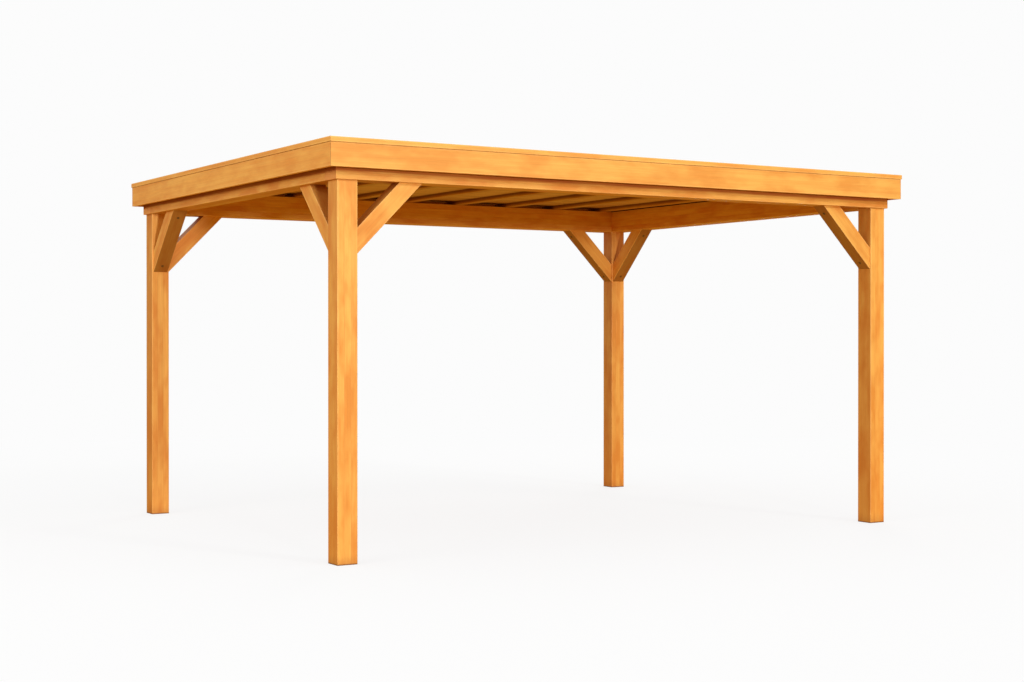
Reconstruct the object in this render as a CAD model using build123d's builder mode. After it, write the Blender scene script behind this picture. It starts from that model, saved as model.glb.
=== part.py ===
from build123d import *
import os

# Free-standing flat-roofed timber canopy: four posts, a ring of beams with half-lapped
# corners, eight knee braces, roof joists, a boarded deck with its membrane, and a mitred
# fascia with a cap strip.
# Millimetres. Origin at bottom centre, X along the long side, the front at -Y, Z up.

# Ring of beams
ring_length = 4000
ring_depth = 3120
beam_width = 140
beam_height = 160
lap_clearance = 0.5

# Posts
post_size = 120
post_height = 2070
post_setback = 15

# Knee braces: the leg is what a brace takes up on the post and on the beam
brace_leg = 400
brace_width = 100
brace_thickness = 100

# Roof
joist_width = 60
joist_depth = 30
joist_pitch = 445
deck_thickness = 18
deck_board = 96
deck_groove = 5
membrane_thickness = 2

# Edge of the roof
fascia_oversail = 60
fascia_thickness = 22
fascia_height = 130
cap_height = 28
cap_overhang = 5

# Eased edges
post_round = 4
beam_round = 3
board_round = 2

# Levels
beam_top = post_height + beam_height
joist_top = beam_top + joist_depth
deck_top = joist_top + deck_thickness
fascia_bottom = joist_top - fascia_height

# Half sizes in plan
ring_x = ring_length / 2
ring_y = ring_depth / 2
post_x = ring_x - post_setback - post_size / 2
post_y = ring_y - post_setback - post_size / 2
fascia_x = ring_x + fascia_oversail
fascia_y = ring_y + fascia_oversail
inside_x = fascia_x - fascia_thickness
inside_y = fascia_y - fascia_thickness

ends = {"front": -1, "back": 1}
sides = {"left": -1, "right": 1}

os.makedirs("parts", exist_ok=True)


def save(builder, label):
    builder.part.label = label
    export_step(builder.part, f"parts/{label}.step")


# Posts: square, with eased arrises, one under each corner of the ring
for end, sy in ends.items():
    for side, sx in sides.items():
        with BuildPart() as post:
            with BuildSketch(Plane(origin=(sx * post_x, sy * post_y, 0))):
                Rectangle(post_size, post_size)
            extrude(amount=post_height)
            fillet(post.edges().filter_by(Axis.Z), post_round)
        save(post, f"post_{end}_{side}")


# Ring beams: the front and back beams keep their lower half at the corners, the side
# beams their upper half, which rests on them
lap_height = beam_height / 2
lap_length = beam_width + lap_clearance


def ring_beam(plane, half_length, lap_below):
    """A beam drawn in elevation: x along the beam, y up from its underside."""
    shoulder = half_length - lap_length
    low = half_length if lap_below else shoulder
    high = shoulder if lap_below else half_length
    outline = [
        (-low, 0),
        (low, 0),
        (low, lap_height),
        (high, lap_height),
        (high, beam_height),
        (-high, beam_height),
        (-high, lap_height),
        (-low, lap_height),
    ]
    with BuildPart() as beam:
        with BuildSketch(plane):
            with BuildLine():
                Polyline(outline, close=True)
            make_face()
        extrude(amount=beam_width / 2, both=True)
        along = beam.edges().filter_by(Axis(plane.origin, plane.x_dir)).group_by(Axis.Z)
        fillet(along[0] + along[-1], beam_round)
    return beam


for end, sy in ends.items():
    middle = (0, sy * (ring_y - beam_width / 2), post_height)
    elevation = Plane(origin=middle, x_dir=(1, 0, 0), z_dir=(0, -1, 0))
    save(ring_beam(elevation, ring_x, True), f"beam_{end}")

for side, sx in sides.items():
    middle = (sx * (ring_x - beam_width / 2), 0, post_height)
    elevation = Plane(origin=middle, x_dir=(0, 1, 0), z_dir=(1, 0, 0))
    save(ring_beam(elevation, ring_y, False), f"beam_{side}")


# Knee braces at 45 degrees: a plumb cut seats on the post, a level cut under the beam
inner_leg = brace_leg - brace_width * 2**0.5


def knee_brace(corner, along):
    """corner: where post face, beam underside and brace middle meet. along: away from the post."""
    toward = Vector(*along)
    plane = Plane(origin=corner, x_dir=toward, z_dir=toward.cross(Vector(0, 0, 1)))
    with BuildPart() as brace:
        with BuildSketch(plane):
            with BuildLine():
                Polyline([(0, -brace_leg), (0, -inner_leg), (inner_leg, 0), (brace_leg, 0)], close=True)
            make_face()
        extrude(amount=brace_thickness / 2, both=True)
        slope = Axis(corner, toward + Vector(0, 0, 1))
        fillet(brace.edges().filter_by(slope), beam_round)
    return brace


for end, sy in ends.items():
    for side, sx in sides.items():
        corner = (sx * (post_x - post_size / 2), sy * post_y, post_height)
        save(knee_brace(corner, (-sx, 0, 0)), f"brace_{end}_beam_{side}")
        corner = (sx * post_x, sy * (post_y - post_size / 2), post_height)
        save(knee_brace(corner, (0, -sy, 0)), f"brace_{side}_beam_{end}")


# Roof joists: laid from front to back over the beams, between the fascia boards
def roof_joist(centre_x):
    with BuildPart() as joist:
        with BuildSketch(Plane(origin=(centre_x, 0, beam_top))):
            Rectangle(joist_width, 2 * inside_y)
        extrude(amount=joist_depth)
        fillet(joist.edges().filter_by(Axis.Y).group_by(Axis.Z)[0], board_round)
    return joist


clear_x = ring_x - beam_width - joist_width / 2
joists_each_side = int(clear_x // joist_pitch)
for index in range(-joists_each_side, joists_each_side + 1):
    save(roof_joist(index * joist_pitch), f"joist_{index + joists_each_side + 1}")

for side, sx in sides.items():
    save(roof_joist(sx * (inside_x - joist_width / 2)), f"rim_joist_{side}")


# Deck: boards from side to side, joined into one plate, with a V along each joint below
board_joints = int(2 * inside_y // deck_board)
with BuildPart() as roof_deck:
    with BuildSketch(Plane.XY.offset(joist_top)):
        Rectangle(2 * inside_x, 2 * inside_y)
    extrude(amount=deck_thickness)
    with BuildSketch(Plane.YZ):
        with Locations((0, joist_top)):
            with GridLocations(deck_board, 1, board_joints, 1):
                Rectangle(deck_groove, deck_groove, rotation=45)
    extrude(amount=inside_x, both=True, mode=Mode.SUBTRACT)
save(roof_deck, "roof_deck")

# Membrane: one sheet over the whole deck, inside the cap strips
with BuildPart() as roof_membrane:
    with BuildSketch(Plane.XY.offset(deck_top)):
        Rectangle(2 * inside_x, 2 * inside_y)
    extrude(amount=membrane_thickness)
save(roof_membrane, "roof_membrane")


# Fascia and cap: four boards round the roof, mitred at the corners
def mitred_board(sx, sy, outer_x, outer_y, bottom, height):
    """A board along one side. Its inner face is the fascia's, whatever its width."""
    width_x = outer_x - inside_x
    width_y = outer_y - inside_y
    if sy:
        outline = [
            (-outer_x, sy * outer_y),
            (outer_x, sy * outer_y),
            (outer_x - width_x, sy * inside_y),
            (width_x - outer_x, sy * inside_y),
        ]
    else:
        outline = [
            (sx * outer_x, -outer_y),
            (sx * outer_x, outer_y),
            (sx * inside_x, outer_y - width_y),
            (sx * inside_x, width_y - outer_y),
        ]
    with BuildPart() as board:
        with BuildSketch(Plane.XY.offset(bottom)):
            with BuildLine():
                Polyline(outline, close=True)
            make_face()
        extrude(amount=height)
        levels = board.edges().filter_by(Axis.Z, reverse=True).group_by(Axis.Z)
        outer_edges = [level.sort_by(SortBy.LENGTH)[-1] for level in (levels[0], levels[-1])]
        fillet(outer_edges, board_round)
    return board


edges = {"front": (0, -1), "back": (0, 1), "left": (-1, 0), "right": (1, 0)}
for name, (sx, sy) in edges.items():
    fascia = mitred_board(sx, sy, fascia_x, fascia_y, fascia_bottom, fascia_height)
    save(fascia, f"fascia_{name}")
    cap = mitred_board(sx, sy, fascia_x + cap_overhang, fascia_y + cap_overhang, joist_top, cap_height)
    save(cap, f"cap_{name}")
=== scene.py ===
import math
from itertools import count

import bmesh
import bpy
from mathutils import Matrix, Vector, noise


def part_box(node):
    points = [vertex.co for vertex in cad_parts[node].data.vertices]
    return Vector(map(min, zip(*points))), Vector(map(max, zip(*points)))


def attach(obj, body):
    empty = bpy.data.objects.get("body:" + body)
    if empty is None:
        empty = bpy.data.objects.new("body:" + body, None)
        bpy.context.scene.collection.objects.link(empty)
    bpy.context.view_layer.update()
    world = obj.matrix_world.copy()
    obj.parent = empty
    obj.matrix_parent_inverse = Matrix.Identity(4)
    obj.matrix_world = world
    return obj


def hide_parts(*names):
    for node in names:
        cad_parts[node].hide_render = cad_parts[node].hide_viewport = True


# Looks of the timber canopy: oiled softwood on every CAD piece, loose deck boards and a
# sheet membrane in place of the two roof plates, and the screws. Metres, the CAD frame.

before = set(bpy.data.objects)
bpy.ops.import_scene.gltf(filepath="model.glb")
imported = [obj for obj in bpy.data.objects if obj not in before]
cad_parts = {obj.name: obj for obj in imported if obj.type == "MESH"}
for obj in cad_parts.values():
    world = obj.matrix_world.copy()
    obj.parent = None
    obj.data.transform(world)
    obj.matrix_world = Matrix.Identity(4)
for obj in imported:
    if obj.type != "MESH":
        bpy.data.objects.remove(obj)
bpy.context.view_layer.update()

scene = bpy.context.scene
scene.view_settings.view_transform = "Standard"
quarter = math.pi / 2
tolerance = 0.001

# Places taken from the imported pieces
deck_low, deck_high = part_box("roof_deck")
membrane_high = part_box("roof_membrane")[1]
fascia_low, fascia_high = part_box("fascia_front")
beam_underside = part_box("beam_front")[0][2]
ring_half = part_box("beam_right")[1][0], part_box("beam_back")[1][1]

# Sections of the sticks, width by height
post_section = 0.12, 0.12
beam_section = 0.14, 0.16
brace_section = 0.10, 0.10
joist_section = 0.06, 0.03
fascia_section = 0.022, 0.13
cap_section = 0.027, 0.028
joist_count = 9
lamella = 0.04
one_piece = 0.5  # a lamella higher than any stick, so that no glue line shows

# Deck boards
deck_board = 0.096
deck_joints = int((deck_high[1] - deck_low[1]) // deck_board)
deck_play = 0.002
board_gap = 0.0006
board_easing = 0.0034

# Roofing sheet
sheet_thickness = 0.0014
sheet_gap = 0.0015
sheet_sink = 0.0004
sheet_wave = 0.0016
sheet_flat_margin = 0.12
sheet_turn_up = 0.0055
sheet_segments = 136, 106
# Waves to the metre in X and in Y, the level of the noise they are cut at, and their share
sheet_waves = (1.9, 1.3, 3.0, 0.5), (5.0, 3.1, 9.0, 0.25)

# Screws: radius and height of the head, and how deep it is let in
brace_screw = 0.009, 0.0020, 0.0006
cap_screw = 0.004, 0.0014, 0.0013
brace_screw_places = 0.10, 0.88  # shares of the lower face's length
cap_screw_end = 0.08
cap_screw_spacing = 0.5
head_corners = 28
# The star recess: its inset and waist as shares of the radius, its depth of the height
recess_inset, recess_waist, recess_depth = 0.62, 0.72, 0.7

# Which way is inward from each end and side of the canopy
ends = ("front", "back")
sides = ("left", "right")
inward = {"front": 1, "back": -1, "left": 1, "right": -1}
up = Vector((0, 0, 1))


# Node helpers
def add_node(tree, kind, **settings):
    node = tree.nodes.new(kind)
    for name, value in settings.items():
        if name in node.inputs:
            node.inputs[name].default_value = value
        else:
            setattr(node, name, value)
    return node


def feed(tree, sockets, values):
    """Links each value that is a socket, and sets each that is a plain value."""
    for socket, value in zip(sockets, values):
        if isinstance(value, bpy.types.NodeSocket):
            tree.links.new(value, socket)
        else:
            socket.default_value = value


def math_node(tree, operation, first, second=0.0, third=0.0, clamp=False):
    node = add_node(tree, "ShaderNodeMath", operation=operation, use_clamp=clamp)
    feed(tree, node.inputs, (first, second, third))
    return node.outputs[0]


def vector_node(tree, operation, first, second=(0, 0, 0), output="Vector"):
    node = add_node(tree, "ShaderNodeVectorMath", operation=operation)
    feed(tree, node.inputs, (first, second))
    return node.outputs[output]


def noise_node(tree, vector, scale=1.0, detail=2.0, roughness=0.5):
    node = add_node(tree, "ShaderNodeTexNoise", Scale=scale, Detail=detail, Roughness=roughness)
    tree.links.new(vector, node.inputs["Vector"])
    return node.outputs["Fac"]


def split(tree, vector):
    node = tree.nodes.new("ShaderNodeSeparateXYZ")
    tree.links.new(vector, node.inputs[0])
    return node.outputs


def fade(tree, value, start, end):
    """One at start and on the side away from end, nought at end and past it."""
    node = tree.nodes.new("ShaderNodeMapRange")
    node.interpolation_type = "SMOOTHSTEP"
    tree.links.new(value, node.inputs["Value"])
    node.inputs["From Min"].default_value = start
    node.inputs["From Max"].default_value = end
    node.inputs["To Min"].default_value = 1.0
    node.inputs["To Max"].default_value = 0.0
    return node.outputs["Result"]


def mix_colour(tree, factor, first, second, blend="MIX"):
    node = add_node(tree, "ShaderNodeMix", data_type="RGBA", blend_type=blend)
    feed(tree, (node.inputs[0], node.inputs[6], node.inputs[7]), (factor, first, second))
    return node.outputs[2]


def scaled(tree, value, times, plus, clamp=False):
    """Multiplies and adds. plus may be a socket."""
    return math_node(tree, "MULTIPLY_ADD", value, times, plus, clamp)


def tint(tree, colour, mask, other, strength, blend="MIX"):
    """Mixes in another colour where the mask is up."""
    return mix_colour(tree, math_node(tree, "MULTIPLY", mask, strength), colour, other, blend)


def grey(tree, value):
    """The same value in all three channels."""
    node = tree.nodes.new("ShaderNodeCombineColor")
    feed(tree, node.inputs, (value, value, value))
    return node.outputs[0]


def shade(tree, colour, value):
    """Darkens a colour by a value."""
    return mix_colour(tree, 1.0, colour, grey(tree, value), "MULTIPLY")


def relief(tree, shader, height, strength, distance):
    node = add_node(tree, "ShaderNodeBump", Strength=strength, Distance=distance)
    tree.links.new(height, node.inputs["Height"])
    tree.links.new(node.outputs[0], shader.inputs["Normal"])


def new_material(name):
    """A material, its node tree, its shader and the object's own coordinates."""
    material = bpy.data.materials.new(name)
    material.use_nodes = True
    tree = material.node_tree
    where = tree.nodes.new("ShaderNodeTexCoord").outputs["Object"]
    return material, tree, tree.nodes["Principled BSDF"], where


def start_group(name, inputs, outputs):
    """A node group with one vector input and floats for the rest."""
    tree = bpy.data.node_groups.new(name, "ShaderNodeTree")
    tree.interface.new_socket("Vector", in_out="INPUT", socket_type="NodeSocketVector")
    for label, value in inputs.items():
        socket = tree.interface.new_socket(label, in_out="INPUT", socket_type="NodeSocketFloat")
        socket.default_value = value
    for label in outputs:
        tree.interface.new_socket(label, in_out="OUTPUT", socket_type="NodeSocketFloat")
    given = tree.nodes.new("NodeGroupInput").outputs
    return tree, given, tree.nodes.new("NodeGroupOutput").inputs


def use_group(tree, group, vector, values):
    node = tree.nodes.new("ShaderNodeGroup")
    node.node_tree = group
    tree.links.new(vector, node.inputs["Vector"])
    for label, value in values.items():
        node.inputs[label].default_value = value
    return node.outputs


# Timber grain: X runs along the grain, Z through the lamellas. Sizes are in metres, and
# noises are so many to the metre in X, Y and Z
fibres_per_metre = 5.0, 330.0, 330.0
streaks_per_metre = 1.3, 46.0, 46.0
clouds_per_metre = 3.2, 9.0, 9.0
knots_per_metre = 2.6, 8.0, 8.0
bends_per_metre = 0.9, 3.0, 3.0
bend_reach = 0.0, 0.07, 0.07
pith_reach = 0.0, 0.16, 0.10
pith_place = 0.0, 0.02, 0.07
plank_reach = 7.0, 5.0, 5.0
noise_middle = 0.5, 0.5, 0.5
glue_line_fade = 0.0002, 0.0011
knot_least, knot_spread = 0.009, 0.010
# In radii of the knot
knot_fade = 0.75, 1.15
swirl_fade = 0.4, 4.5
# In yearly rings
swirl_rings = 2.4
uneven_rings = 3.0
late_wood_fade = 0.95, 0.30
winter_fade = 0.90, 1.0


def make_grain_group():
    tree, given, result = start_group(
        "timber_grain",
        {"Piece": 0.0, "Lamella": lamella, "Layer Shift": 0.5, "Ring Width": 0.005, "Knots": 0.4},
        ("Rings", "Fibres", "Streaks", "Clouds", "Knot", "Glue Line", "Tone"),
    )
    layer = math_node(tree, "DIVIDE", split(tree, given["Vector"])["Z"], given["Lamella"])
    layer = math_node(tree, "ADD", layer, given["Layer Shift"])
    number = math_node(tree, "FLOOR", layer)
    off_middle = math_node(tree, "SUBTRACT", math_node(tree, "FRACT", layer), 0.5)
    to_edge = math_node(tree, "SUBTRACT", 0.5, math_node(tree, "ABSOLUTE", off_middle))
    from_joint = math_node(tree, "MULTIPLY", to_edge, given["Lamella"])
    tree.links.new(fade(tree, from_joint, *glue_line_fade), result["Glue Line"])

    # Every lamella is cut from another board
    code = tree.nodes.new("ShaderNodeCombineXYZ")
    tree.links.new(number, code.inputs["X"])
    tree.links.new(given["Piece"], code.inputs["Y"])
    board = add_node(tree, "ShaderNodeTexWhiteNoise", noise_dimensions="3D")
    tree.links.new(code.outputs[0], board.inputs["Vector"])
    tree.links.new(board.outputs["Value"], result["Tone"])
    shift = vector_node(tree, "MULTIPLY", board.outputs["Color"], plank_reach)
    place = vector_node(tree, "ADD", given["Vector"], shift)

    # Knots: balls scattered through the wood, most of them missing
    stretched = vector_node(tree, "MULTIPLY", place, knots_per_metre)
    cells = add_node(tree, "ShaderNodeTexVoronoi", Scale=1.0)
    tree.links.new(stretched, cells.inputs["Vector"])
    away = vector_node(tree, "SUBTRACT", cells.outputs["Position"], stretched)
    away = vector_node(tree, "DIVIDE", away, knots_per_metre)
    reach = vector_node(tree, "LENGTH", away, output="Value")
    pick = tree.nodes.new("ShaderNodeSeparateColor")
    tree.links.new(cells.outputs["Color"], pick.inputs[0])
    present = math_node(tree, "LESS_THAN", pick.outputs["Red"], given["Knots"])
    size = scaled(tree, pick.outputs["Green"], times=knot_spread, plus=knot_least)
    near = math_node(tree, "DIVIDE", reach, size)
    knot = math_node(tree, "MULTIPLY", fade(tree, near, *knot_fade), present)
    tree.links.new(knot, result["Knot"])
    swirl = math_node(tree, "MULTIPLY", fade(tree, near, *swirl_fade), present)

    # Yearly rings about a pith that wanders outside the board
    gentle = vector_node(tree, "MULTIPLY", place, bends_per_metre)
    wander = add_node(tree, "ShaderNodeTexNoise", Scale=1.0, Detail=2.0)
    tree.links.new(gentle, wander.inputs["Vector"])
    bend = vector_node(tree, "SUBTRACT", wander.outputs["Color"], noise_middle)
    bend = vector_node(tree, "MULTIPLY", bend, bend_reach)
    pith = vector_node(tree, "SUBTRACT", board.outputs["Color"], noise_middle)
    pith = vector_node(tree, "MULTIPLY", pith, pith_reach)
    pith = vector_node(tree, "ADD", pith, pith_place)
    radial = vector_node(tree, "MULTIPLY", given["Vector"], (0.0, 1.0, 1.0))
    radial = vector_node(tree, "ADD", vector_node(tree, "ADD", radial, pith), bend)
    radius = vector_node(tree, "LENGTH", radial, output="Value")
    years = math_node(tree, "DIVIDE", radius, given["Ring Width"])
    years = scaled(tree, swirl, times=swirl_rings, plus=years)
    uneven = add_node(tree, "ShaderNodeTexNoise", noise_dimensions="1D", Scale=0.31, Detail=1.0)
    tree.links.new(years, uneven.inputs["W"])
    years = scaled(tree, uneven.outputs["Fac"], times=uneven_rings, plus=years)
    season = math_node(tree, "FRACT", years)
    late = fade(tree, season, *late_wood_fade)
    winter = fade(tree, season, *winter_fade)
    tree.links.new(math_node(tree, "MULTIPLY", late, winter), result["Rings"])

    # Noises drawn out along the grain, from fine to broad
    for label, per_metre, detail, roughness in (
        ("Fibres", fibres_per_metre, 2.0, 0.6),
        ("Streaks", streaks_per_metre, 3.0, 0.55),
        ("Clouds", clouds_per_metre, 3.0, 0.6),
    ):
        drawn_out = vector_node(tree, "MULTIPLY", place, per_metre)
        tree.links.new(
            noise_node(tree, drawn_out, detail=detail, roughness=roughness), result[label]
        )
    return tree


# Arris: the rounded long edges of a stick, rubbed a little paler in patches
patches_per_metre = 11.0, 40.0, 40.0
rub_fade = 0.2, 1.2  # in reaches of the rub


def make_arris_group():
    tree, given, result = start_group(
        "rubbed_arris",
        {"Half Width": 0.06, "Half Height": 0.06, "Reach": 0.006},
        ("Rub",),
    )
    axes = split(tree, given["Vector"])
    to_edges = [
        math_node(
            tree, "ABSOLUTE",
            math_node(tree, "SUBTRACT", given[label], math_node(tree, "ABSOLUTE", axes[axis])),
        )
        for label, axis in (("Half Width", "Y"), ("Half Height", "Z"))
    ]
    patches = vector_node(tree, "MULTIPLY", given["Vector"], patches_per_metre)
    patches = noise_node(tree, patches, detail=3.0)
    wear_and_shade = scaled(tree, patches, times=2.0, plus=0.2)
    reach = math_node(tree, "MULTIPLY", given["Reach"], wear_and_shade)
    near = math_node(tree, "DIVIDE", math_node(tree, "ADD", *to_edges), reach)
    tree.links.new(fade(tree, near, *rub_fade), result["Rub"])
    return tree


grain_group = make_grain_group()
arris_group = make_arris_group()


def linear(red, green, blue):
    """A colour as it is seen, on a scale to 255, to the shader's own values."""
    def one(value):
        value /= 255
        return value / 12.92 if value <= 0.04045 else ((value + 0.055) / 1.055) ** 2.4
    return (one(red), one(green), one(blue), 1.0)


# Oiled softwood
pale_wood = linear(246, 186, 88)
ring_wood = linear(230, 151, 54)
knot_wood = linear(150, 76, 22)
# Deeper wood in streaks and clouds, also the painted shade low on the posts
deep_wood = linear(218, 127, 33)
end_wood = linear(226, 150, 80)
rubbed_wood = linear(255, 208, 128)
# Grime in the joints, and painted contact shadow at the feet of the posts
grime_and_shade = linear(72, 34, 10)
# Painted shade on the joists' sides
painted_side_shade = linear(112, 58, 18)
# Painted shade on the beams close below the fascia
painted_fascia_shade = (0.44, 0.22, 0.03, 1.0)
# Painted shade on the braces' lower and upper faces
painted_brace_shade = linear(112, 52, 6)

# Unoiled spruce of the deck
pale_board = linear(214, 166, 112)
dark_board = linear(188, 136, 86)
streaked_board = linear(186, 126, 62)
board_knot = linear(96, 50, 20)

# Roofing sheet and screws
dark_sheet = linear(52, 52, 54)
dust_colour = linear(98, 95, 90)
grit_colour = linear(70, 70, 70)
dull_steel = linear(92, 72, 52)
brighter_steel = linear(140, 114, 82)

# Where marks fade out, in metres
seam_fade = 0.001, 0.0035
foot_line_fade = 0.002, 0.010
foot_shade_fade = 0.0, 1.7
fascia_shade_fade = 0.004, 0.020
outer_face_fade = -0.01, -0.03
side_shade_fade = 0.008, 0.026
# Where a face stops facing a direction, as a cosine
facing_fade = 0.9, 0.6
end_grain_fade = 0.97, 0.80

board_step = 1.37  # keeps the noises of neighbouring boards apart
near_post_board = 41  # palest at its top


def grain_axis(turn):
    """The direction that a Mapping node with this turn takes to X."""
    spin = Matrix.Identity(3)
    for angle, axis in zip(turn, "XYZ"):
        spin = Matrix.Rotation(angle, 3, axis) @ spin
    return spin.transposed() @ Vector((1, 0, 0))


def beyond(tree, place, corner):
    """How far a point lies beyond the corner in X and in Y, whichever side it is on."""
    return [
        math_node(tree, "SUBTRACT", math_node(tree, "ABSOLUTE", place[axis]), half)
        for axis, half in zip("XY", corner)
    ]


def bare_wood(tree, grain, tone, clouds):
    """The colour of one oiled stick, before wear and dirt."""
    colour = tint(tree, pale_wood, grain["Rings"], ring_wood, strength=0.34)
    streak = scaled(tree, grain["Streaks"], times=3.4, plus=-1.3, clamp=True)
    colour = tint(tree, colour, streak, deep_wood, strength=0.32)
    cloud = scaled(tree, grain["Clouds"], times=4.2, plus=-1.65, clamp=True)
    colour = tint(tree, colour, cloud, deep_wood, strength=clouds)
    colour = shade(tree, colour, scaled(tree, grain["Fibres"], times=0.30, plus=0.86))
    own_tone = scaled(tree, grain["Tone"], times=0.10, plus=0.95 * tone - 0.05)
    colour = shade(tree, colour, own_tone)
    colour = tint(tree, colour, grain["Knot"], knot_wood, strength=0.7)
    return tint(tree, colour, grain["Glue Line"], knot_wood, strength=0.2)


def timber(name, board, middle, turn, section, layer=one_piece, rings=0.0055, knots=0.16,
           tone=1.0, clouds=0.7, joint_at=None, foot=False, mitre=None, sheltered=False,
           underside=None, rough_sides=None):
    """Planed, oiled timber. turn takes the grain of the piece to X and its layers to Z.
    joint_at is a level where grime sits, and mitre is the corner that a mitred board runs to.
    foot paints shade that deepens towards the lower end of a post, with a damp stain and a dark
    line of painted contact shadow at the foot. sheltered paints shade on the outside of a
    beam close below the fascia. underside is the way that the lower face of a brace looks, and
    its lower and upper faces get painted shade. rough_sides is the axis that the joists' sides
    face, and they get painted shade below the deck."""
    material, tree, shader, where = new_material(name)
    centred = vector_node(tree, "SUBTRACT", where, tuple(middle))
    turned = add_node(tree, "ShaderNodeMapping", vector_type="POINT", Rotation=turn)
    tree.links.new(centred, turned.inputs["Vector"])
    along = turned.outputs["Vector"]
    place = split(tree, where)
    facing = tree.nodes.new("ShaderNodeNewGeometry").outputs["Normal"]

    # A glue line runs along the middle of an even count of lamellas, and none of an odd count
    width, height = section
    even = round(height / layer) % 2 == 0 and layer < height / 2
    grain = use_group(tree, grain_group, along, {
        "Piece": board * board_step, "Lamella": layer, "Layer Shift": 0.0 if even else 0.5,
        "Ring Width": rings, "Knots": knots,
    })
    rub = use_group(tree, arris_group, along, {
        "Half Width": width / 2, "Half Height": height / 2,
    })["Rub"]
    colour = bare_wood(tree, grain, tone, clouds)

    # Cut ends drink more oil
    cut = vector_node(tree, "DOT_PRODUCT", facing, tuple(grain_axis(turn)), output="Value")
    cut = fade(tree, math_node(tree, "ABSOLUTE", cut), *end_grain_fade)
    colour = tint(tree, colour, cut, end_wood, strength=0.62)
    colour = tint(tree, colour, rub, rubbed_wood, strength=0.30)

    if joint_at is not None:
        off_joint = math_node(tree, "SUBTRACT", place["Z"], joint_at)
        gap = math_node(tree, "ABSOLUTE", off_joint)
        colour = tint(tree, colour, fade(tree, gap, *seam_fade), grime_and_shade, strength=0.25)
    if foot:
        # Painted shade: the posts grow deeper in colour over their lower part, darkest at the
        # foot. A damp stain rises a little way, and the lowest centimetre has a dark line of
        # painted contact shadow with damp.
        wear_and_shade = fade(tree, place["Z"], *foot_shade_fade)
        colour = tint(tree, colour, wear_and_shade, deep_wood, strength=0.22)
        damp = scaled(tree, grain["Streaks"], times=0.10, plus=0.02)
        damp = fade(tree, math_node(tree, "DIVIDE", place["Z"], damp), 0.0, 1.0)
        colour = tint(tree, colour, damp, knot_wood, strength=0.30)
        foot_line = fade(tree, place["Z"], *foot_line_fade)
        colour = tint(tree, colour, foot_line, grime_and_shade, strength=0.75)
    if mitre is not None:
        gap = math_node(tree, "SUBTRACT", *beyond(tree, place, mitre))
        gap = math_node(tree, "ABSOLUTE", gap)
        colour = tint(tree, colour, fade(tree, gap, *seam_fade), grime_and_shade, strength=0.45)
    if sheltered:
        # Painted shade: a darker band on the outside of a beam, close below the fascia
        outward = math_node(tree, "MAXIMUM", *beyond(tree, place, ring_half))
        below = math_node(tree, "SUBTRACT", fascia_low[2], place["Z"])
        below = scaled(tree, grain["Streaks"], times=-0.010, plus=below)
        fascia_shade = math_node(
            tree, "MULTIPLY",
            fade(tree, below, *fascia_shade_fade), fade(tree, outward, *outer_face_fade),
        )
        colour = tint(tree, colour, fascia_shade, painted_fascia_shade, strength=0.9, blend="MULTIPLY")
    if underside is not None:
        # Painted shade: strong on the lower faces of a brace, lighter on its upper faces
        slope = vector_node(tree, "DOT_PRODUCT", facing, underside, output="Value")
        lower = fade(tree, slope, *facing_fade)
        colour = tint(tree, colour, lower, painted_brace_shade, strength=0.66)
        upper = fade(tree, slope, *(-cosine for cosine in facing_fade))
        colour = tint(tree, colour, upper, painted_brace_shade, strength=0.45)
    if rough_sides is not None:
        # Painted shade on the joists' sides below the deck
        sideways = vector_node(tree, "DOT_PRODUCT", facing, rough_sides, output="Value")
        sideways = fade(tree, math_node(tree, "ABSOLUTE", sideways), *facing_fade)
        below_deck = math_node(tree, "SUBTRACT", deck_low[2], place["Z"])
        side_shade = math_node(tree, "MULTIPLY", sideways, fade(tree, below_deck, *side_shade_fade))
        colour = tint(tree, colour, side_shade, painted_side_shade, strength=0.85)
    tree.links.new(colour, shader.inputs["Base Color"])

    rough = scaled(tree, grain["Streaks"], times=0.22, plus=0.40)
    rough = scaled(tree, rub, times=0.10, plus=rough)
    if sheltered:
        rough = scaled(tree, fascia_shade, times=0.35, plus=rough)
    tree.links.new(rough, shader.inputs["Roughness"])
    bumps = scaled(tree, grain["Rings"], times=0.35, plus=grain["Fibres"])
    bumps = scaled(tree, grain["Glue Line"], times=-0.8, plus=bumps)
    relief(tree, shader, bumps, strength=0.35, distance=0.0006)
    return material


def box_of(name):
    low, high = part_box(name)
    return Vector(low), Vector(high)


# Dressing the CAD pieces
boards = count(1)
along_x = (0, 0, 0)
along_y = (0, 0, -quarter)
along_z = (0, quarter, 0)
turns = {"front": along_x, "back": along_x, "left": along_y, "right": along_y}
slant = math.sqrt(0.5)


def dress(name, turn, section, board=None, **finish):
    """Gives a CAD piece its own timber: its own board, grain along its length."""
    number = next(boards)
    low, high = box_of(name)
    middle = (low + high) / 2
    if "underside" in finish:
        # The middle of a brace's box lies on its lower face
        middle -= Vector(finish["underside"]) * section[1] / 2
    material = timber(f"oiled_{name}", board or number, middle, turn, section, **finish)
    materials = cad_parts[name].data.materials
    materials.clear()
    materials.append(material)


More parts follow.
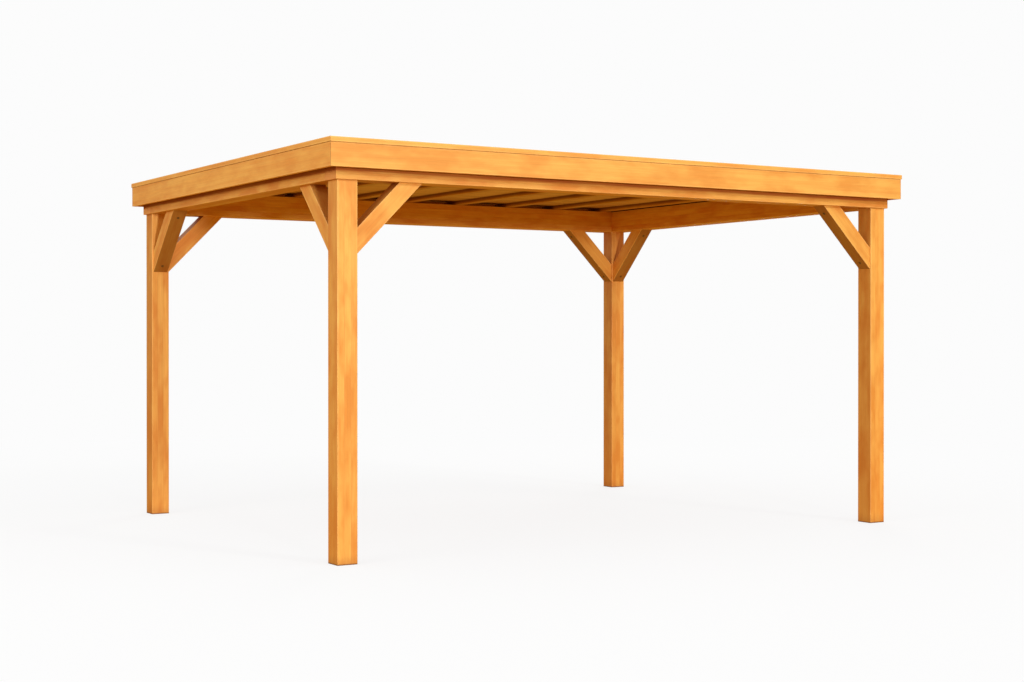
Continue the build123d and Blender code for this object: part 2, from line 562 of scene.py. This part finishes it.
for end in ends:
    for side in sides:
        nearest = (end, side) == ("front", "left")
        dress(
            f"post_{end}_{side}", along_z, post_section, near_post_board if nearest else None,
            layer=lamella, joint_at=beam_underside, foot=True,
        )
for name, turn in turns.items():
    dress(f"beam_{name}", turn, beam_section, layer=lamella, knots=0.05, sheltered=True)
for end in ends:
    for side in sides:
        lean = inward[side]
        dress(
            f"brace_{end}_beam_{side}", (0, lean * quarter / 2, 0), brace_section,
            knots=0.08, underside=(lean * slant, 0, -slant),
        )
for side in sides:
    for end in ends:
        lean = inward[end]
        dress(
            f"brace_{side}_beam_{end}", (-lean * quarter / 2, 0, -quarter), brace_section,
            knots=0.08, underside=(0, lean * slant, -slant),
        )
joists = [f"joist_{index + 1}" for index in range(joist_count)]
for name in (*joists, *(f"rim_joist_{side}" for side in sides)):
    dress(name, along_y, joist_section, tone=0.62, rough_sides=(1, 0, 0))
for part, section in (("fascia", fascia_section), ("cap", cap_section)):
    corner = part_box(f"{part}_right")[1][0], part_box(f"{part}_back")[1][1]
    for name, turn in turns.items():
        dress(
            f"{part}_{name}", turn, section, rings=0.0045, clouds=0.5,
            joint_at=fascia_high[2], mitre=corner,
        )


# New pieces
def add_object(name, mesh, material):
    """Turns a bmesh into an object of the scene."""
    data = bpy.data.meshes.new(name)
    mesh.to_mesh(data)
    mesh.free()
    data.materials.append(material)
    made = bpy.data.objects.new(name, data)
    scene.collection.objects.link(made)
    return made


def finished(name, mesh, material, body="root", smooth=False):
    """Turns a bmesh into a named piece that rides on the canopy."""
    piece = add_object(name, mesh, material)
    for face in piece.data.polygons:
        face.use_smooth = smooth
    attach(piece, body)
    return piece


def deck_board_material():
    """Spruce boards, planed below and left without oil, each from another plank."""
    material, tree, shader, where = new_material("deck_board_spruce")
    turned = add_node(tree, "ShaderNodeMapping", vector_type="POINT", Rotation=(quarter, 0, 0))
    tree.links.new(where, turned.inputs["Vector"])
    grain = use_group(tree, grain_group, turned.outputs["Vector"], {
        "Piece": 77.0, "Lamella": deck_board, "Layer Shift": 0.0 if deck_joints % 2 else 0.5,
        "Ring Width": 0.0045, "Knots": 0.6,
    })
    colour = tint(tree, pale_board, grain["Rings"], dark_board, strength=0.6)
    streak = scaled(tree, grain["Streaks"], times=2.6, plus=-0.95, clamp=True)
    colour = tint(tree, colour, streak, streaked_board, strength=0.45)
    colour = shade(tree, colour, scaled(tree, grain["Tone"], times=0.28, plus=0.78))
    colour = tint(tree, colour, grain["Knot"], board_knot, strength=0.85)
    tree.links.new(colour, shader.inputs["Base Color"])
    rough = scaled(tree, grain["Streaks"], times=0.2, plus=0.5)
    tree.links.new(rough, shader.inputs["Roughness"])
    bumps = math_node(tree, "ADD", grain["Rings"], grain["Fibres"])
    relief(tree, shader, bumps, strength=0.4, distance=0.0006)
    return material


def make_deck_boards():
    """Tongued boards from side to side, with a V below at every joint."""
    mesh = bmesh.new()
    joints = [(index - (deck_joints - 1) / 2) * deck_board for index in range(deck_joints)]
    edges = [deck_low[1], *joints, deck_high[1]]
    length = deck_high[0] - deck_low[0] - deck_play
    thickness = deck_high[2] - deck_low[2]
    for near, far in zip(edges, edges[1:]):
        width = far - near - board_gap
        place = Matrix.Translation((0, (near + far) / 2, (deck_low[2] + deck_high[2]) / 2))
        made = bmesh.ops.create_cube(
            mesh, size=1, matrix=place @ Matrix.Diagonal((length, width, thickness, 1))
        )
        lower_long = {
            edge
            for corner in made["verts"]
            for edge in corner.link_edges
            if all(end.co.z < deck_low[2] + tolerance for end in edge.verts)
            and abs(edge.verts[0].co.y - edge.verts[1].co.y) < tolerance
        }
        bmesh.ops.bevel(
            mesh, geom=list(lower_long), offset=board_easing, segments=1, profile=0.5,
            affect="EDGES", material=-1,
        )
    piece = finished("deck_boards", mesh, deck_board_material())
    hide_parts("roof_deck")


def membrane_material():
    """Dark roofing sheet, dull, with settled dust."""
    material, tree, shader, where = new_material("roofing_sheet")
    cloud = noise_node(tree, where, scale=1.7, detail=5.0, roughness=0.6)
    grit = noise_node(tree, where, scale=420.0, detail=2.0)
    dust = scaled(tree, cloud, times=2.2, plus=-0.85, clamp=True)
    colour = tint(tree, dark_sheet, dust, dust_colour, strength=0.55)
    colour = tint(tree, colour, grit, grit_colour, strength=0.35)
    tree.links.new(colour, shader.inputs["Base Color"])
    tree.links.new(scaled(tree, dust, times=0.2, plus=0.62), shader.inputs["Roughness"])
    relief(tree, shader, grit, strength=0.4, distance=0.0008)
    return material


def make_membrane():
    """One loose-laid sheet with shallow waves, turned up against the cap strips."""
    reach_x, reach_y = membrane_high[0] - sheet_gap, membrane_high[1] - sheet_gap
    across, deep = sheet_segments
    mesh = bmesh.new()
    bmesh.ops.create_grid(
        mesh, x_segments=across, y_segments=deep, size=1,
        matrix=Matrix.Diagonal((reach_x, reach_y, 1, 1)),
    )
    for vertex in mesh.verts:
        x, y = vertex.co.x, vertex.co.y
        inset = min(reach_x - abs(x), reach_y - abs(y))
        wave = sum(
            noise.noise(Vector((x * in_x, y * in_y, level))) * share
            for in_x, in_y, level, share in sheet_waves
        )
        flat = min(1.0, max(0.0, inset) / sheet_flat_margin)
        turned_up = sheet_turn_up if inset < tolerance else 0.0
        lift = sheet_wave * max(0.0, wave) * flat + turned_up
        vertex.co.z = membrane_high[2] - sheet_sink + lift
    bmesh.ops.recalc_face_normals(mesh, faces=mesh.faces)
    bmesh.ops.solidify(mesh, geom=mesh.faces, thickness=sheet_thickness)
    piece = finished("roof_membrane_sheet", mesh, membrane_material(), smooth=True)
    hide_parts("roof_membrane")


def steel_material():
    """Plated screw steel, gone dull and dark."""
    material, tree, shader, where = new_material("plated_screw")
    stain = noise_node(tree, where, scale=160.0, detail=3.0)
    colour = mix_colour(tree, stain, dull_steel, brighter_steel)
    tree.links.new(colour, shader.inputs["Base Color"])
    shader.inputs["Metallic"].default_value = 0.9
    tree.links.new(scaled(tree, stain, times=0.3, plus=0.35), shader.inputs["Roughness"])
    return material


def screw_head(mesh, place, out, radius, height, sunk):
    """A flat round head with a star recess. place is on the timber's face, which looks out."""
    turn = up.rotation_difference(out).to_matrix().to_4x4()
    lift = Matrix.Translation((0, 0, height / 2))
    made = bmesh.ops.create_cone(
        mesh, cap_ends=True, segments=head_corners, radius1=radius, radius2=radius,
        depth=height, matrix=Matrix.Translation(place - out * sunk) @ turn @ lift,
    )
    faces = {face for vertex in made["verts"] for face in vertex.link_faces}
    top = [
        face for face in faces
        if len(face.verts) == head_corners and face.normal.dot(out) > 0.9
    ]
    bmesh.ops.inset_individual(mesh, faces=top, thickness=radius * recess_inset, depth=0.0)
    cup = top[0]
    for index, vertex in enumerate(cup.verts):
        middle = cup.calc_center_median()
        if index % 4 in (0, 1):
            vertex.co = middle + (vertex.co - middle) * recess_waist
    bottom = bmesh.ops.extrude_discrete_faces(mesh, faces=[cup])["faces"][0]
    bmesh.ops.translate(mesh, verts=bottom.verts, vec=-out * height * recess_depth)


def make_brace_screws(steel):
    """One screw with a flat plate head near each end of a brace, through its lower face."""
    for end in ends:
        for side in sides:
            for name, away in (
                (f"brace_{end}_beam_{side}", Vector((inward[side], 0, 0))),
                (f"brace_{side}_beam_{end}", Vector((0, inward[end], 0))),
            ):
                low, high = box_of(name)
                # The lower face runs from the foot on the post to the far end under the beam
                span = abs((high - low).dot(away))
                foot = (low + high) / 2 - away * span / 2
                out = (away - up).normalized()
                mesh = bmesh.new()
                for share in brace_screw_places:
                    place = foot + away * span * share
                    place.z = low.z + (high.z - low.z) * share
                    screw_head(mesh, place, out, *brace_screw)
                bmesh.ops.recalc_face_normals(mesh, faces=mesh.faces)
                finished(f"screws_{name}", mesh, steel)


def make_cap_screws(steel):
    """Small countersunk screws along the top of each cap strip."""
    for side in (*ends, *sides):
        low, high = box_of(f"cap_{side}")
        along = 0 if high.x - low.x > high.y - low.y else 1
        run = high[along] - low[along] - 2 * cap_screw_end
        spaces = round(run / cap_screw_spacing)
        mesh = bmesh.new()
        for index in range(spaces + 1):
            place = (low + high) / 2
            place[along] = low[along] + cap_screw_end + run * index / spaces
            place.z = high.z
            screw_head(mesh, place, up, *cap_screw)
        bmesh.ops.recalc_face_normals(mesh, faces=mesh.faces)
        finished(f"screws_cap_{side}", mesh, steel)


make_deck_boards()
make_membrane()
steel = steel_material()
make_brace_screws(steel)
make_cap_screws(steel)

# Floor, light and camera
backdrop = 0.973
floor_half = 60
floor_grey = 0.14
floor_dimming = 0.165
floor_grey_fade = 2.5, 9.0
light_aim = Vector((0, 0, 1.2))

# The camera, solved from the photograph's edges
camera_place = (-5.7646, -9.5424, 1.2360)
camera_dip = 0.0037
camera_pan = 0.5472
camera_lens = 57.84


def floor_material():
    """Grey close to the posts, where it takes their shadows, and fading into the backdrop."""
    material, tree, shader, where = new_material("pale_floor")
    near = vector_node(tree, "LENGTH", where, output="Value")
    near = fade(tree, near, *floor_grey_fade)
    tree.links.new(
        grey(tree, math_node(tree, "MULTIPLY", near, floor_grey)), shader.inputs["Base Color"]
    )
    glow = scaled(tree, near, times=-floor_dimming, plus=backdrop)
    tree.links.new(grey(tree, glow), shader.inputs["Emission Color"])
    shader.inputs["Emission Strength"].default_value = 1.0
    shader.inputs["Roughness"].default_value = 0.9
    shader.inputs["Specular IOR Level"].default_value = 0.0
    # Seen from below, the floor is open
    clear = tree.nodes.new("ShaderNodeBsdfTransparent")
    below = tree.nodes.new("ShaderNodeNewGeometry").outputs["Backfacing"]
    mix = tree.nodes.new("ShaderNodeMixShader")
    feed(tree, mix.inputs, (below, shader.outputs[0], clear.outputs[0]))
    tree.links.new(mix.outputs[0], tree.nodes["Material Output"].inputs["Surface"])
    return material


def make_floor():
    mesh = bmesh.new()
    bmesh.ops.create_grid(mesh, x_segments=1, y_segments=1, size=floor_half)
    floor = add_object("floor", mesh, floor_material())
    floor.visible_diffuse = False
    floor.visible_glossy = False


def make_sky():
    """A white room: bright overhead, and warm below as if off the lit timber."""
    world = bpy.data.worlds.new("studio")
    scene.world = world
    world.use_nodes = True
    tree = world.node_tree
    surface = tree.nodes["Background"]
    where = tree.nodes.new("ShaderNodeTexCoord").outputs["Generated"]
    rise = scaled(tree, split(tree, where)["Z"], times=0.5, plus=0.5)
    bands = tree.nodes.new("ShaderNodeValToRGB")
    tree.links.new(rise, bands.inputs[0])
    steps = (
        (0.0, (0.72, 0.42, 0.06, 1)),
        (0.16, (0.62, 0.34, 0.045, 1)),
        (0.46, (0.46, 0.23, 0.025, 1)),
        (0.53, (0.42, 0.36, 0.27, 1)),
        (0.8, (1, 1, 1, 1)),
    )
    for place, hue in steps[1:4]:
        bands.color_ramp.elements.new(place).color = hue
    for element, (place, hue) in zip(bands.color_ramp.elements, steps):
        element.position, element.color = place, hue
    tree.links.new(bands.outputs[0], surface.inputs["Color"])
    surface.inputs["Strength"].default_value = 0.9
    # The backdrop itself is plain white
    plain = tree.nodes.new("ShaderNodeBackground")
    plain.inputs["Color"].default_value = (backdrop, backdrop, backdrop, 1)
    seen = tree.nodes.new("ShaderNodeLightPath").outputs["Is Camera Ray"]
    mix = tree.nodes.new("ShaderNodeMixShader")
    feed(tree, mix.inputs, (seen, surface.outputs[0], plain.outputs[0]))
    tree.links.new(mix.outputs[0], tree.nodes["World Output"].inputs["Surface"])


def soft_light(name, place, size, power):
    lamp = bpy.data.lights.new(name, "AREA")
    lamp.shape = "DISK"
    lamp.size = size
    lamp.energy = power
    light = bpy.data.objects.new(name, lamp)
    light.location = place
    light.rotation_euler = (light_aim - Vector(place)).to_track_quat("-Z", "Y").to_euler()
    scene.collection.objects.link(light)


def make_camera():
    data = bpy.data.cameras.new("camera")
    data.sensor_width = 36
    data.lens = camera_lens
    data.clip_end = 300
    camera = bpy.data.objects.new("camera", data)
    camera.location = camera_place
    camera.rotation_euler = (quarter - camera_dip, 0, -camera_pan)
    scene.collection.objects.link(camera)
    scene.camera = camera


make_floor()
make_sky()
soft_light("high_front", place=(6.0, -22.0, 15.0), size=4.0, power=1840)
soft_light("low_front", place=(-5.4, -24.6, 2.4), size=1.8, power=2480)
soft_light("left", place=(-12.0, -4.0, 6.0), size=7.0, power=450)
soft_light("behind", place=(12.0, 12.0, 5.0), size=7.0, power=1100)
make_camera()
